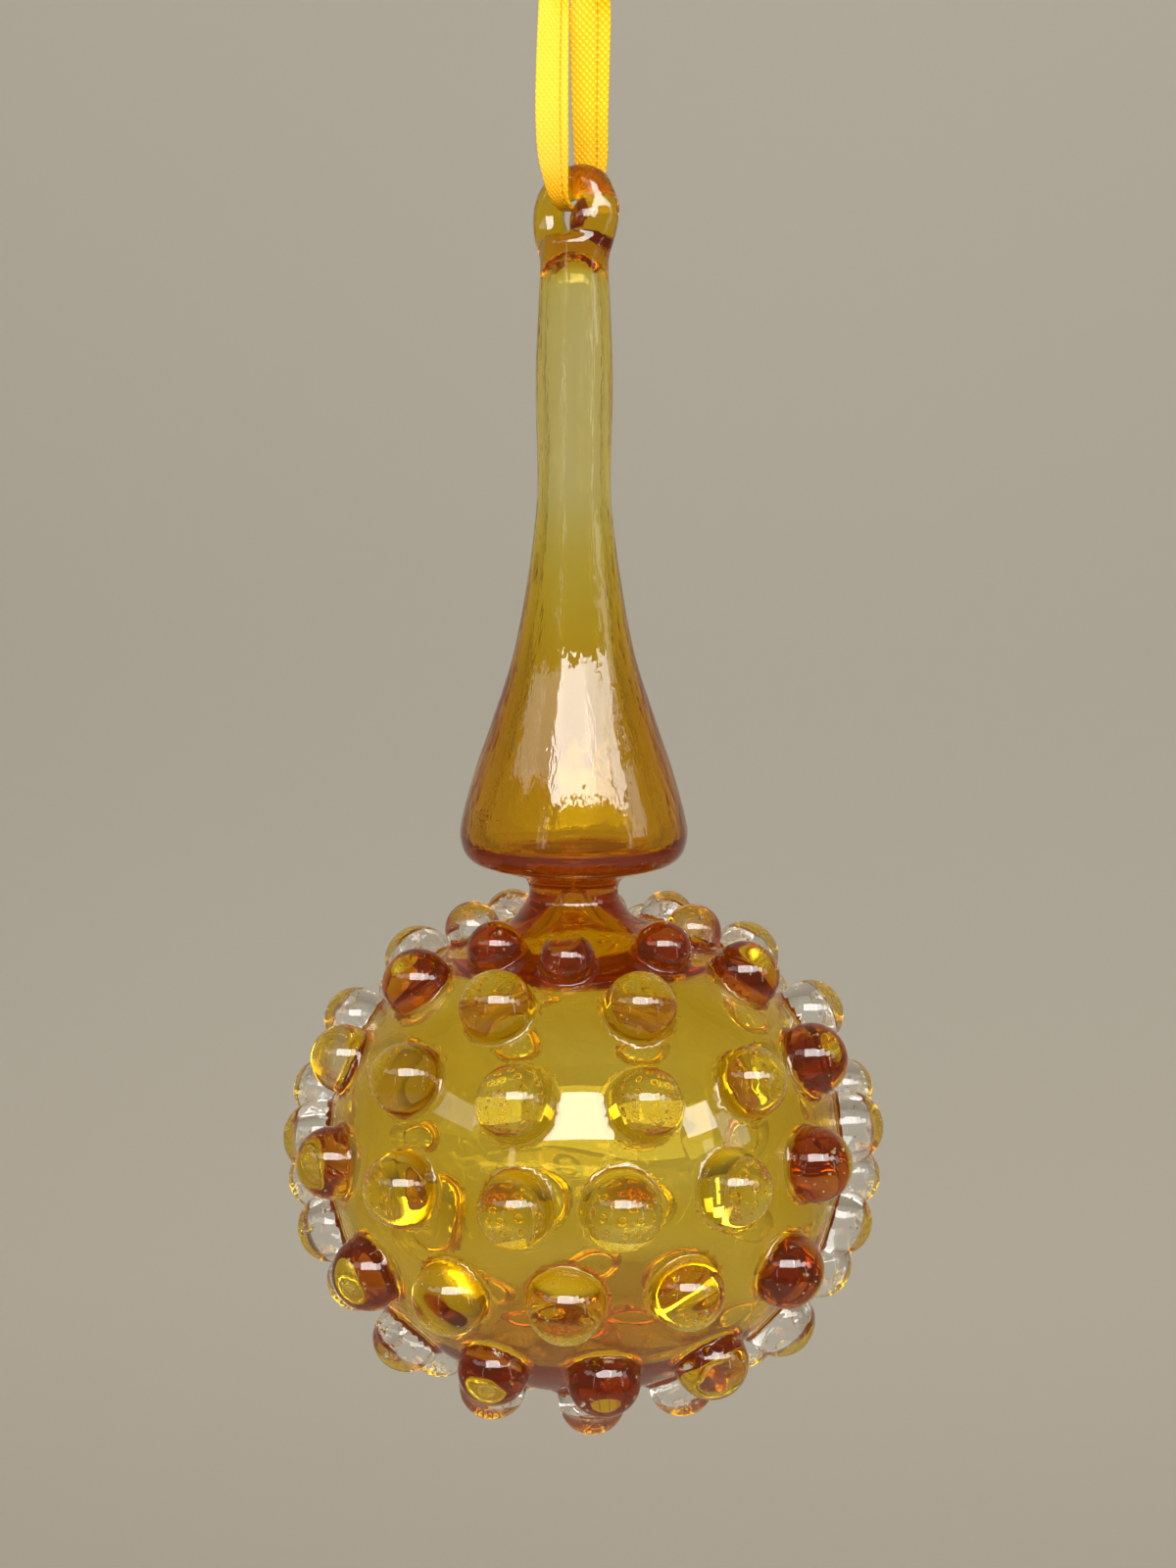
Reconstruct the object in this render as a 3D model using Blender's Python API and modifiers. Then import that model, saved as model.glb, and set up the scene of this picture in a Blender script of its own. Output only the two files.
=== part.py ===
"""Blown glass ornament: a sealed ball studded with prunts, under a hollow bell-footed spire that ends
in a curled glass loop, hung on a folded satin ribbon.

The origin is the inside of the ribbon's top bend, where a hook carries it. +Z is up and the front
faces -Y. The glass is sealed, so it is modelled as one solid.
"""

import math
import random

import bmesh
import bpy
from mathutils import Matrix, Vector

MM = 0.001

# Places in the hanging frame.
GLASS_AXIS_X = 1.5 * MM
BALL_CENTRE_Z = -160.4 * MM
SPIRE_OFFSET_X = -1.5 * MM
SPIRE_LEAN_DEG = 0.1
LOOP_CENTRE = Vector((0.4, 0.0, -36.3)) * MM

# Ball.
BALL_RADIUS = 34.6 * MM
BALL_HALF_HEIGHT = 31.9 * MM
BALL_STEPS = 30
BALL_RINGS = 15

# Neck and spire: height above the ball's centre and radius, from the neck's buried root upward.
SPIRE_STATIONS_MM = (
    (28.0, 9.8), (31.3, 8.2), (34.9, 6.0), (37.4, 6.7), (38.7, 10.5), (40.0, 13.9), (42.7, 15.1),
    (46.0, 14.7), (52.2, 12.95), (58.4, 10.8), (66.8, 8.1), (76.4, 6.2), (85.2, 5.05), (90.5, 4.8),
    (103.3, 5.03), (115.5, 4.5), (119.6, 4.35),
)
SPIRE_STEPS = 18
SPIRE_SUBDIVISIONS = 2
SPIRE_TOP_ROUNDING = 1.6 * MM

# Prunts: one round dab of glass at each place of the rows. The upper two rows run right round the
# ball; below them the front half and the back half have rows of their own, at other heights.
# A row is its latitude, its count, its first longitude (0 faces the front), the step from one to
# the next, its prunt radius, the height of its centres off the ball and the seed of its wander,
# since each dab is set on by hand a little away from its even place.
PRUNT_ROWS = (
    (64.0, 8, -7.0, 45.0, 3.7 * MM, 1.0 * MM, 5361),
    (49.0, 8, -23.0, 45.0, 4.7 * MM, 1.0 * MM, 39949),
    (26.6, 6, -76.0, 29.5, 4.75 * MM, 1.0 * MM, 15054),
    (4.8, 8, -90.0, 25.0, 4.9 * MM, 1.0 * MM, 50639),
    (-17.5, 7, -79.0, 26.3, 4.8 * MM, 1.0 * MM, 44658),
    (-42.0, 5, -64.0, 33.0, 4.7 * MM, 1.0 * MM, 10726),
    (-64.0, 3, -42.0, 44.0, 4.5 * MM, 1.0 * MM, 35034),
    (31.5, 6, 99.0, 32.4, 4.5 * MM, 1.6 * MM, 42703),
    (12.5, 6, 100.0, 32.0, 4.2 * MM, 2.4 * MM, 13228),
    (-7.0, 6, 100.0, 32.0, 4.3 * MM, 2.4 * MM, 47442),
    (-31.0, 6, 96.0, 33.6, 4.4 * MM, 2.2 * MM, 50179),
    (-55.0, 5, 98.0, 41.0, 4.4 * MM, 1.6 * MM, 4618),
    (-76.0, 3, 125.0, 55.0, 4.2 * MM, 1.0 * MM, 106),
    (-90.0, 1, 0.0, 0.0, 4.1 * MM, 1.0 * MM, 1),
)
PRUNT_LATITUDE_WANDER_DEG = 2.0
PRUNT_LONGITUDE_WANDER_DEG = 5.0
PRUNT_SIZE_WANDER = 0.04
PRUNT_FACET_ALLOWANCE = 1.03

# Glass loop: a thick rod curled over from behind, down the front and back onto the spire.
# Each point is X, Y, Z from the loop's centre and the rod's radius there.
LOOP_BACK_LEG_MM = (
    (-0.6, 0.9, -7.2, 2.5), (-2.6, 1.7, -4.4, 2.4), (-3.5, 2.3, -1.0, 2.05), (-2.8, 2.2, 2.0, 2.0),
    (-0.4, 1.2, 3.7, 2.2), (2.0, 0.0, 3.3, 2.35), (3.2, -0.9, 0.6, 2.3),
)
LOOP_FRONT_LEG_MM = (
    (2.6, -0.5, 2.2, 1.9), (3.15, -1.0, 0.0, 2.3), (2.5, -1.2, -3.0, 2.5), (0.9, -1.0, -6.2, 2.6),
)
LOOP_TONGUE_CENTRE_MM = (1.45, -2.0, -1.5)
LOOP_TONGUE_RADII_MM = (2.25, 1.8, 3.1)
LOOP_SUBDIVISIONS = 2

# Ribbon: one closed band, folded lengthwise to a strip and bunched where it passes through the eye.
# Each point is X, Y and Z from the origin, the strip's width and thickness, and the turn of its width
# about the vertical in degrees: 0 faces the front. It runs from the eye up the left strand, over the
# hook and down the right strand, behind the glass.
RIBBON_ROUTE_MM = (
    (0.05, 0.7, -35.9, 1.9, 1.1, -26), (-0.95, -1.0, -35.8, 1.9, 1.1, -26),
    (-1.75, -2.3, -34.4, 2.4, 1.0, -12), (-2.2, -2.9, -32.0, 3.2, 0.9, 0),
    (-2.5, -2.8, -29.0, 3.9, 0.9, 0), (-2.65, -2.3, -24.0, 4.1, 0.9, 0),
    (-2.55, -1.4, -16.5, 4.0, 0.9, 0), (-2.4, -0.8, -11.0, 3.8, 0.9, -6),
    (-2.3, -0.3, -6.5, 3.8, 0.9, -50), (-2.2, 0.0, -2.6, 3.9, 0.9, -85),
    (-1.6, 0.0, -0.3, 4.0, 0.9, -90), (0.0, 0.0, 0.45, 4.0, 0.9, -90),
    (1.6, 0.0, -0.3, 4.0, 0.9, -90), (2.2, 0.0, -2.6, 4.1, 0.9, -85),
    (2.25, 0.4, -6.5, 4.6, 0.9, -50), (2.2, 0.9, -11.0, 5.2, 0.9, -6),
    (2.2, 1.6, -16.5, 5.0, 0.9, 0), (2.2, 2.7, -24.0, 4.6, 0.9, 0),
    (2.3, 3.7, -29.0, 4.3, 0.9, 0), (2.2, 4.2, -32.0, 3.6, 0.9, 0),
    (1.8, 3.9, -34.3, 2.7, 1.0, -12), (1.15, 2.3, -35.6, 2.1, 1.1, -22),
)
RIBBON_SUBDIVISIONS = 2
RIBBON_SIDES = 8


def clear_scene():
    for old in list(bpy.data.objects):
        bpy.data.objects.remove(old, do_unlink=True)


def new_collection(name):
    collection = bpy.data.collections.new(name)
    bpy.context.scene.collection.children.link(collection)
    return collection


def plain_material(name, colour, roughness, transmission=0.0):
    material = bpy.data.materials.new(name)
    material.use_nodes = True
    shader = material.node_tree.nodes["Principled BSDF"]
    shader.inputs["Base Color"].default_value = (*colour, 1.0)
    shader.inputs["Roughness"].default_value = roughness
    shader.inputs["Metallic"].default_value = 0.0
    shader.inputs["Transmission Weight"].default_value = transmission
    material.diffuse_color = (*colour, 1.0)
    return material


def smooth_rows(rows, subdivisions, closed=False):
    """Rows of numbers read off a Catmull-Rom curve through the given rows."""
    ends = [rows[-1], *rows, rows[0], rows[1]] if closed else [rows[0], *rows, rows[-1]]
    result = []
    for before, start, end, after in zip(ends, ends[1:], ends[2:], ends[3:]):
        for step in range(subdivisions):
            t = step / subdivisions
            result.append(tuple(
                0.5 * (2 * b + (c - a) * t + (2 * a - 5 * b + 4 * c - d) * t ** 2
                       + (3 * b - a - 3 * c + d) * t ** 3)
                for a, b, c, d in zip(before, start, end, after)))
    return result if closed else [*result, tuple(rows[-1])]


def turned(name, collection, profile, steps):
    """A closed solid turned about its own Z axis from (radius, height) pairs, top to bottom."""
    mesh = bpy.data.meshes.new(name)
    points = [(radius, 0.0, height) for radius, height in profile]
    edges = [(i, i + 1) for i in range(len(points) - 1)]
    mesh.from_pydata(points, edges, [])
    solid = bpy.data.objects.new(name, mesh)
    collection.objects.link(solid)
    screw = solid.modifiers.new("turn", "SCREW")
    screw.steps = steps
    screw.render_steps = steps
    screw.use_merge_vertices = True
    screw.merge_threshold = 0.00001
    screw.use_smooth_shade = True
    return solid


def spire_profile():
    rows = smooth_rows(SPIRE_STATIONS_MM, SPIRE_SUBDIVISIONS)
    side = [(radius * MM, height * MM) for height, radius in rows]
    top_radius, top_height = side[-1]
    rounding = []
    for angle in (30, 60, 90):
        turn = math.radians(angle)
        reach = top_radius - SPIRE_TOP_ROUNDING * (1 - math.cos(turn))
        rounding.append((reach, top_height + SPIRE_TOP_ROUNDING * math.sin(turn)))
    crown = (0.0, rounding[-1][1])
    root = (0.0, side[0][1])
    return [crown, *reversed(rounding), *reversed(side), root]


def ball_profile():
    points = []
    for ring in range(BALL_RINGS + 1):
        polar = math.pi * ring / BALL_RINGS
        points.append((BALL_RADIUS * math.sin(polar), BALL_HALF_HEIGHT * math.cos(polar)))
    points[0] = (0.0, BALL_HALF_HEIGHT)
    points[-1] = (0.0, -BALL_HALF_HEIGHT)
    return points


def prunt_sites():
    """Centre, outward direction and radius of each prunt, from the ball's centre."""
    sites = []
    for latitude, count, first, step, radius, rise, seed in PRUNT_ROWS:
        wander = random.Random(seed)
        for index in range(count):
            lat = latitude + wander.uniform(-1, 1) * PRUNT_LATITUDE_WANDER_DEG
            lon = first + step * index + wander.uniform(-1, 1) * PRUNT_LONGITUDE_WANDER_DEG
            size = radius * (1 + wander.uniform(-1, 1) * PRUNT_SIZE_WANDER)
            lat, lon = math.radians(lat), math.radians(lon)
            on_ball = Vector((
                BALL_RADIUS * math.cos(lat) * math.sin(lon),
                -BALL_RADIUS * math.cos(lat) * math.cos(lon),
                BALL_HALF_HEIGHT * math.sin(lat)))
            outward = Vector((
                on_ball.x / BALL_RADIUS ** 2,
                on_ball.y / BALL_RADIUS ** 2,
                on_ball.z / BALL_HALF_HEIGHT ** 2)).normalized()
            sites.append((on_ball + outward * rise, outward, size))
    return sites


def prunts(name, collection):
    """Every prunt as a small sphere, half sunk in the ball."""
    shell = bmesh.new()
    for centre, outward, size in prunt_sites():
        facing = outward.to_track_quat("Z", "Y").to_matrix().to_4x4()
        bmesh.ops.create_uvsphere(
            shell, u_segments=8, v_segments=5, radius=size * PRUNT_FACET_ALLOWANCE,
            matrix=Matrix.Translation(centre) @ facing)
    mesh = bpy.data.meshes.new(name)
    shell.to_mesh(mesh)
    shell.free()
    solid = bpy.data.objects.new(name, mesh)
    collection.objects.link(solid)
    return solid


def rod(name, collection, rows_mm):
    """A round rod along a smooth curve, as a mesh, with its own radius at each point."""
    rows = smooth_rows(rows_mm, LOOP_SUBDIVISIONS)
    curve = bpy.data.curves.new(name, "CURVE")
    curve.dimensions = "3D"
    curve.bevel_depth = MM
    curve.bevel_resolution = 2
    curve.use_fill_caps = True
    spline = curve.splines.new("POLY")
    spline.points.add(len(rows) - 1)
    for point, (x, y, z, radius) in zip(spline.points, rows):
        point.co = (x * MM, y * MM, z * MM, 1.0)
        point.radius = radius
    guide = bpy.data.objects.new(name + "_guide", curve)
    collection.objects.link(guide)
    evaluated = guide.evaluated_get(bpy.context.evaluated_depsgraph_get())
    mesh = bpy.data.meshes.new_from_object(evaluated)
    shell = bmesh.new()
    shell.from_mesh(mesh)
    bmesh.ops.remove_doubles(shell, verts=shell.verts, dist=0.00001)
    bmesh.ops.recalc_face_normals(shell, faces=shell.faces)
    shell.to_mesh(mesh)
    shell.free()
    solid = bpy.data.objects.new(name, mesh)
    solid.matrix_world = guide.matrix_world
    collection.objects.link(solid)
    bpy.data.objects.remove(guide, do_unlink=True)
    return solid


def tongue(name, collection):
    """The rounded end of the curl, pressed down over the front of the eye."""
    shell = bmesh.new()
    bmesh.ops.create_uvsphere(shell, u_segments=10, v_segments=8, radius=1.0)
    bmesh.ops.scale(shell, vec=Vector(LOOP_TONGUE_RADII_MM) * MM, verts=shell.verts)
    bmesh.ops.translate(shell, vec=Vector(LOOP_TONGUE_CENTRE_MM) * MM, verts=shell.verts)
    mesh = bpy.data.meshes.new(name)
    shell.to_mesh(mesh)
    shell.free()
    solid = bpy.data.objects.new(name, mesh)
    collection.objects.link(solid)
    return solid


def fuse(solid, others):
    """Join each of the other solids onto the first with a Boolean union."""
    for other in others:
        other.hide_render = True
        other.display_type = "WIRE"
        union = solid.modifiers.new("fuse_" + other.name, "BOOLEAN")
        union.operation = "UNION"
        union.solver = "EXACT"
        union.object = other


def glass(parts, cutters):
    ornament = turned("glass_ornament", parts, spire_profile(), SPIRE_STEPS)
    ball_centre = Vector((GLASS_AXIS_X, 0.0, BALL_CENTRE_Z))
    ornament.location = ball_centre + Vector((SPIRE_OFFSET_X, 0.0, 0.0))
    ornament.rotation_euler.y = math.radians(SPIRE_LEAN_DEG)
    ball = turned("ball", cutters, ball_profile(), BALL_STEPS)
    dabs = prunts("prunts", cutters)
    loop = [tongue("loop_tongue", cutters),
            rod("loop_back_leg", cutters, LOOP_BACK_LEG_MM),
            rod("loop_front_leg", cutters, LOOP_FRONT_LEG_MM)]
    for part in (ball, dabs):
        part.location = ball_centre
    for part in loop:
        part.location = LOOP_CENTRE
    fuse(ornament, [ball, dabs, *loop])
    ornament.data.materials.append(plain_material("amber_glass", (0.62, 0.36, 0.02), 0.03, 0.6))
    return ornament


def ribbon_sections():
    """The corners of the strip's cross-section at each step along its run."""
    rows = smooth_rows(RIBBON_ROUTE_MM, RIBBON_SUBDIVISIONS, closed=True)
    centres = [Vector(row[:3]) * MM for row in rows]
    corner = math.pi / RIBBON_SIDES
    sections = []
    for index, (centre, row) in enumerate(zip(centres, rows)):
        along = (centres[(index + 1) % len(rows)] - centres[index - 1]).normalized()
        width, thickness, turn = row[3] * MM, row[4] * MM, math.radians(row[5])
        across = Vector((math.cos(turn), math.sin(turn), 0.0))
        across = (across - along * across.dot(along)).normalized()
        facing = along.cross(across)
        section = []
        for side in range(RIBBON_SIDES):
            angle = corner * (2 * side + 1)
            out = across * (width / 2 * math.cos(angle) / math.cos(corner))
            up = facing * (thickness / 2 * math.sin(angle) / math.cos(corner))
            section.append(centre + out + up)
        sections.append(section)
    return sections


def ribbon(parts):
    """The folded strip, lofted through its sections into a closed band."""
    shell = bmesh.new()
    rings = [[shell.verts.new(corner) for corner in section] for section in ribbon_sections()]
    for ring, following in zip(rings, [*rings[1:], rings[0]]):
        for side in range(RIBBON_SIDES):
            beside = (side + 1) % RIBBON_SIDES
            shell.faces.new((ring[side], ring[beside], following[beside], following[side]))
    bmesh.ops.recalc_face_normals(shell, faces=shell.faces)
    mesh = bpy.data.meshes.new("satin_ribbon")
    shell.to_mesh(mesh)
    shell.free()
    band = bpy.data.objects.new("satin_ribbon", mesh)
    parts.objects.link(band)
    band.data.materials.append(plain_material("yellow_satin", (0.9, 0.5, 0.01), 0.45))
    return band


def main():
    clear_scene()
    parts = new_collection("blown_glass_ornament")
    cutters = new_collection("cutters")
    glass(parts, cutters)
    ribbon(parts)


main()
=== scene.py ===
# %% [markdown]
# # A blown glass ornament on a satin ribbon
#
# The ornament is a sealed ball of amber glass, studded all over with dabs of clear glass that a
# glassmaker calls prunts. A hollow spire with a bell-shaped foot stands on it, and the spire's tip
# is curled over into a loop. A folded yellow satin ribbon runs through the loop and carries it all.
#
# The first cell loads the measured solids. Nothing here moves them: each finished piece below is
# built round them, in the same place, and in metres. The glass is worked out in millimetres,
# because every size on it is a few of those.

import math
import random

import bmesh
import bpy
import numpy as np
from mathutils import Matrix, Vector


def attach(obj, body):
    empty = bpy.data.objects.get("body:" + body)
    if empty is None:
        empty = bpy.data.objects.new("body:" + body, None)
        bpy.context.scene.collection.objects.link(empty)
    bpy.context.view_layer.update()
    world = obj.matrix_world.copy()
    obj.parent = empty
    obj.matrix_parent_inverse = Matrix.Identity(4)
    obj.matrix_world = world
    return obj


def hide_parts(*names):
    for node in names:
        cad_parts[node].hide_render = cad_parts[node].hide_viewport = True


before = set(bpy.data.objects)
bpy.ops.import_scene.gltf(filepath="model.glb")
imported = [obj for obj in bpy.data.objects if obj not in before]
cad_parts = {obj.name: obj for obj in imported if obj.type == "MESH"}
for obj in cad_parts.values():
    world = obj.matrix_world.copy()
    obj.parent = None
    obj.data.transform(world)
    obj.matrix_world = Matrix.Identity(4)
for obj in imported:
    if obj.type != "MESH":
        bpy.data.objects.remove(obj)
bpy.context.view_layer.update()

MM = 0.001
GLASS_NODE = "glass_ornament"
RIBBON_NODE = "satin_ribbon"
scene = bpy.context.scene

# %% [markdown]
# ## The camera
#
# The view is almost level: the camera stands a little above the ornament's middle and looks down
# by about eight degrees, close enough for the ribbon's top to leave the picture. It comes first,
# because everything that hangs free is judged by what the camera sees of it.

# %% The camera
CAMERA_AIM_MM = (1.96, 0.0, -110.6)
CAMERA_DISTANCE_MM = 338.0
CAMERA_LOOK_DOWN_DEG = 8.2
CAMERA_LENS_MM = 58.5
CAMERA_FILM_MM = 36.0
CAMERA_NEAR_M = 0.01


def add_camera():
    """The camera stands at its distance from the aim, raised by the angle that it looks down."""
    down = math.radians(CAMERA_LOOK_DOWN_DEG)
    away = Vector((0.0, -math.cos(down), math.sin(down)))
    data = bpy.data.cameras.new("camera")
    data.lens = CAMERA_LENS_MM
    data.sensor_width = CAMERA_FILM_MM
    data.clip_start = CAMERA_NEAR_M
    camera = bpy.data.objects.new("camera", data)
    camera.location = Vector(CAMERA_AIM_MM) * MM + away * CAMERA_DISTANCE_MM * MM
    camera.rotation_euler = (math.pi / 2 - down, 0.0, 0.0)
    scene.collection.objects.link(camera)
    scene.camera = camera
    return camera


camera = add_camera()
print("camera at", [round(value, 3) for value in camera.location])

# %% [markdown]
# ## Two helpers that every piece uses
#
# A piece is a set of points worked out with numpy and the quads between them. `smooth_rows` reads
# a smooth curve off a few named rows of sizes, and `make_piece` turns arrays into a mesh object.

# %% Smooth curves and meshes from arrays
def smooth_rows(rows, subdivisions, closed=False):
    """Rows of numbers read off a Catmull-Rom curve through the given rows.

    Between rows B and C, with neighbours A and D, the curve is the cubic that leaves B along
    half of C - A and reaches C along half of D - B."""
    rows = np.asarray(rows, float)
    if closed:
        ends = np.vstack([rows[-1:], rows, rows[:2]])
    else:
        ends = np.vstack([rows[:1], rows, rows[-1:]])
    a, b, c, d = (ends[i:len(ends) - 3 + i, None, :] for i in range(4))
    t = (np.arange(subdivisions) / subdivisions)[None, :, None]
    between = 0.5 * (2 * b + (c - a) * t + (2 * a - 5 * b + 4 * c - d) * t ** 2
                     + (3 * b - a - 3 * c + d) * t ** 3)
    smooth = between.reshape(-1, rows.shape[1])
    return smooth if closed else np.vstack([smooth, rows[-1:]])


def make_piece(name, points_mm, faces):
    """A smooth-shaded mesh object at the origin, from points in millimetres and rows of corners."""
    mesh = bpy.data.meshes.new(name)
    mesh.from_pydata((np.asarray(points_mm) * MM).tolist(), [], [list(face) for face in faces])
    mesh.polygons.foreach_set("use_smooth", np.ones(len(mesh.polygons), bool))
    mesh.update()
    piece = bpy.data.objects.new(name, mesh)
    scene.collection.objects.link(piece)
    return piece


def grid_faces(rows, columns, close_rows=False):
    """Corners of the quads of a grid of closed rows, whose points are numbered row by row."""
    r = np.arange(rows if close_rows else rows - 1)[:, None]
    c = np.arange(columns)[None, :]
    above, beside = (r + 1) % rows, (c + 1) % columns
    quads = [r * columns + c, r * columns + beside, above * columns + beside, above * columns + c]
    return np.stack(quads, -1).reshape(-1, 4)


# %% [markdown]
# ## The ribbon
#
# The ribbon is a narrow satin one, folded lengthwise so that it hangs as two flat strands about
# four millimetres wide. It runs up the left strand from the eye of the glass loop, over a hook
# above the picture, and down the right strand, behind the glass. It is one closed band, as it was
# knotted or sewn, and the weight of the glass keeps it straight. A cloth simulation would only
# find the same straight strands, so the strip is carried along its route directly.

# %% The ribbon's route and cross-section
RIBBON_ROUTE_MM = (  # x, y, z, width of the folded strip, thickness, turn of its width in degrees
    (0.05, 0.7, -35.9, 1.9, 1.1, -26), (-0.95, -1.0, -35.8, 1.9, 1.1, -26),
    (-1.75, -2.3, -34.4, 2.4, 1.0, -12), (-2.2, -2.9, -32.0, 3.2, 0.9, 0),
    (-2.5, -2.8, -29.0, 3.9, 0.9, 0), (-2.65, -2.3, -24.0, 4.1, 0.9, 0),
    (-2.55, -1.4, -16.5, 4.0, 0.9, 0), (-2.4, -0.8, -11.0, 3.8, 0.9, -6),
    (-2.3, -0.3, -6.5, 3.8, 0.9, -50), (-2.2, 0.0, -2.6, 3.9, 0.9, -85),
    (-1.6, 0.0, -0.3, 4.0, 0.9, -90), (0.0, 0.0, 0.45, 4.0, 0.9, -90),
    (1.6, 0.0, -0.3, 4.0, 0.9, -90), (2.2, 0.0, -2.6, 4.1, 0.9, -85),
    (2.25, 0.4, -6.5, 4.6, 0.9, -50), (2.2, 0.9, -11.0, 5.2, 0.9, -6),
    (2.2, 1.6, -16.5, 5.0, 0.9, 0), (2.2, 2.7, -24.0, 4.6, 0.9, 0),
    (2.3, 3.7, -29.0, 4.3, 0.9, 0), (2.2, 4.2, -32.0, 3.6, 0.9, 0),
    (1.8, 3.9, -34.3, 2.7, 1.0, -12), (1.15, 2.3, -35.6, 2.1, 1.1, -22),
)
RIBBON_STEPS = 16
RIBBON_CLOTH_MM = 0.16
RIBBON_FACE_SAMPLES = 40
RIBBON_FLAP_SAMPLES = 12
RIBBON_TURN_SAMPLES = 5
# Places on the folded section: across in shares of its width, and up in shares of its thickness.
FOLD_ACROSS = 0.46
FOLD_OUT = 0.04
FOLD_UP = 0.165
FACE_UP = -0.16
FLAP_UP = 0.17
FLAP_EDGE_ACROSS = 0.20
BOW_UP = 0.05
CREASE_ACROSS = 0.23
CREASE_SPREAD = 0.028
CREASE_UP = 0.14


def folded_section():
    """The folded strip's middle line, across and up, in shares of its width and thickness.

    It is a flat face from the left edge to the right one with a sharp crease along it, half a turn,
    and a narrow flap that lies over the face with its selvedge towards the middle."""
    face = np.linspace(-0.5, FOLD_ACROSS, RIBBON_FACE_SAMPLES)
    turn = np.linspace(-0.5, 0.5, RIBBON_TURN_SAMPLES + 2)[1:-1] * np.pi
    flap = np.linspace(FOLD_ACROSS, FLAP_EDGE_ACROSS, RIBBON_FLAP_SAMPLES)
    across = np.concatenate([face, FOLD_ACROSS + FOLD_OUT * np.cos(turn), flap])
    face_up = FACE_UP + BOW_UP * np.cos(face * 2 * np.pi)
    face_up += CREASE_UP * np.exp(-((face - CREASE_ACROSS) / CREASE_SPREAD) ** 2)
    flap_share = (flap - FLAP_EDGE_ACROSS) / (FOLD_ACROSS - FLAP_EDGE_ACROSS)
    flap_up = FLAP_UP + BOW_UP * np.sin(flap_share * np.pi)
    up = np.concatenate([face_up, FOLD_UP * np.sin(turn), flap_up])
    return across, up


def ribbon_frames():
    """Centre, along, across and facing directions, width and thickness at each step of the run."""
    rows = smooth_rows(RIBBON_ROUTE_MM, RIBBON_STEPS, closed=True)
    centre, width, thickness, turn = rows[:, :3], rows[:, 3], rows[:, 4], np.radians(rows[:, 5])
    along = np.roll(centre, -1, 0) - np.roll(centre, 1, 0)
    along /= np.linalg.norm(along, axis=1)[:, None]
    across = np.stack([np.cos(turn), np.sin(turn), np.zeros_like(turn)], 1)
    across -= along * np.sum(across * along, 1)[:, None]
    across /= np.linalg.norm(across, axis=1)[:, None]
    return centre, along, across, np.cross(along, across), width, thickness


def ribbon_piece():
    """The folded strip as a closed band of cloth with a real thickness.

    The section's middle line is moved half a cloth's thickness to each side along its own normal,
    and the two lines join at the selvedges. UV is the place across and along, in millimetres."""
    centre, along, across, facing, width, thickness = ribbon_frames()
    u, w = folded_section()
    line = np.stack([u[None] * width[:, None], w[None] * thickness[:, None]], -1)
    slope = np.gradient(line, axis=1)
    slope /= np.linalg.norm(slope, axis=2)[..., None]
    normal = np.stack([-slope[..., 1], slope[..., 0]], -1) * RIBBON_CLOTH_MM / 2
    outline = np.concatenate([line + normal, (line - normal)[:, ::-1]], 1)
    points = (centre[:, None] + across[:, None] * outline[..., :1] + facing[:, None] * outline[..., 1:])
    rows, columns = points.shape[:2]
    quads = grid_faces(rows, columns, close_rows=True)[:, ::-1]
    band = make_piece("satin_ribbon_band", points.reshape(-1, 3), quads)
    step = np.linalg.norm(np.roll(centre, -1, 0) - centre, axis=1)
    run = np.concatenate([[0.0], np.cumsum(step)])
    reach = np.concatenate([[0.0], np.cumsum(np.linalg.norm(np.diff(line.mean(0), axis=0), axis=1))])
    across_mm = np.concatenate([reach, reach[::-1], reach[:1]])
    row, column = quads // columns, quads % columns
    wrapped_row = np.where((row == 0) & (row.max(1) == rows - 1)[:, None], rows, row)
    wrapped_column = np.where((column == 0) & (column.max(1) == columns - 1)[:, None], columns, column)
    uv = np.stack([across_mm[wrapped_column], run[wrapped_row]], -1)
    layer = band.data.uv_layers.new(name="cloth_mm")
    layer.data.foreach_set("uv", uv.astype(np.float32).ravel())
    return band, centre, run[-1]


ribbon, ribbon_line, ribbon_length = ribbon_piece()
print("ribbon:", len(ribbon.data.polygons), "faces,", round(ribbon_length, 1), "mm round")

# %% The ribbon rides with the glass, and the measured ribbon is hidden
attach(ribbon, "root")
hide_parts(RIBBON_NODE)

# %% [markdown]
# ## The glass as a distance
#
# Molten glass has no sharp corners: wherever two gathers touch, they flow together in a small
# fillet. The easiest way to say that is a distance. Each form has a function that gives how far a
# point is outside it, and a soft minimum of two distances is the same two forms with a fillet.
# A mesh is then drawn onto the place where the distance is zero.

# %% The glass's sizes
BALL_CENTRE_MM = np.array((1.5, 0.0, -160.4))
BALL_RADII_MM = np.array((34.6, 34.6, 31.9))
SPIRE_FOOT_MM = np.array((0.0, 0.0, -160.4))
SPIRE_LEAN_DEG = 0.1
SPIRE_STATIONS_MM = (  # height above the ball's centre, radius
    (28.0, 9.8), (31.3, 8.2), (34.9, 6.0), (37.4, 6.7), (38.7, 10.5), (40.0, 13.9), (42.7, 15.1),
    (46.0, 14.7), (52.2, 12.95), (58.4, 10.8), (66.8, 8.1), (76.4, 6.2), (85.2, 5.05), (90.5, 4.8),
    (103.3, 5.03), (115.5, 4.5), (119.6, 4.35),
)
SPIRE_TOP_MM = 121.2
SPIRE_TOP_CORNER_MM = 1.5
PROFILE_STEPS = 40
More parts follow.
